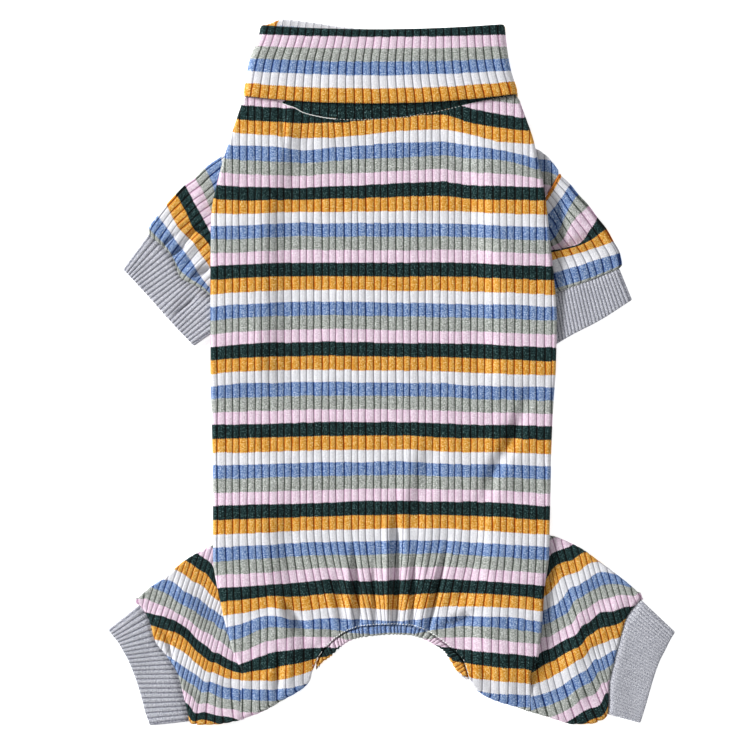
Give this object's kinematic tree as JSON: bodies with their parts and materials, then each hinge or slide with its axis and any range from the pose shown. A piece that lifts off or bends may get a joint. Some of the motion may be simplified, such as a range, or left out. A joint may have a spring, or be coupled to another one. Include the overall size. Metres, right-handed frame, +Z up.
{
  "type": "dog pajamas",
  "caption": "Ribbed-knit dog pajama suit laid flat with its back up, with a roll collar, cuffed sleeves and legs and a gathered elastic rump hem.",
  "frame": {"origin": "middle of the laid-out suit's footprint, on the surface it lies on", "axes": "+Z up out of the back panel, +Y towards the collar, +X towards the sleeve and leg at the viewer's right"},
  "size_m": [0.3227, 0.402, 0.0091],
  "materials": {
    "striped_knit": "soft brushed flat-rib knit in even stripes",
    "grey_rib": "melange fine rib",
    "white_thread": "overlock and cover stitching",
    "orange_thread": "overlock stitching"
  },
  "bodies": {
    "root": {"back_panel": "striped_knit", "belly_panel": "striped_knit", "collar": "striped_knit", "left_sleeve": "striped_knit", "right_sleeve": "striped_knit", "left_leg": "striped_knit", "right_leg": "striped_knit", "left_sleeve_cuff": "grey_rib", "right_sleeve_cuff": "grey_rib", "left_leg_cuff": "grey_rib", "right_leg_cuff": "grey_rib", "tail_hem": "striped_knit"}
  },
  "joints": []
}
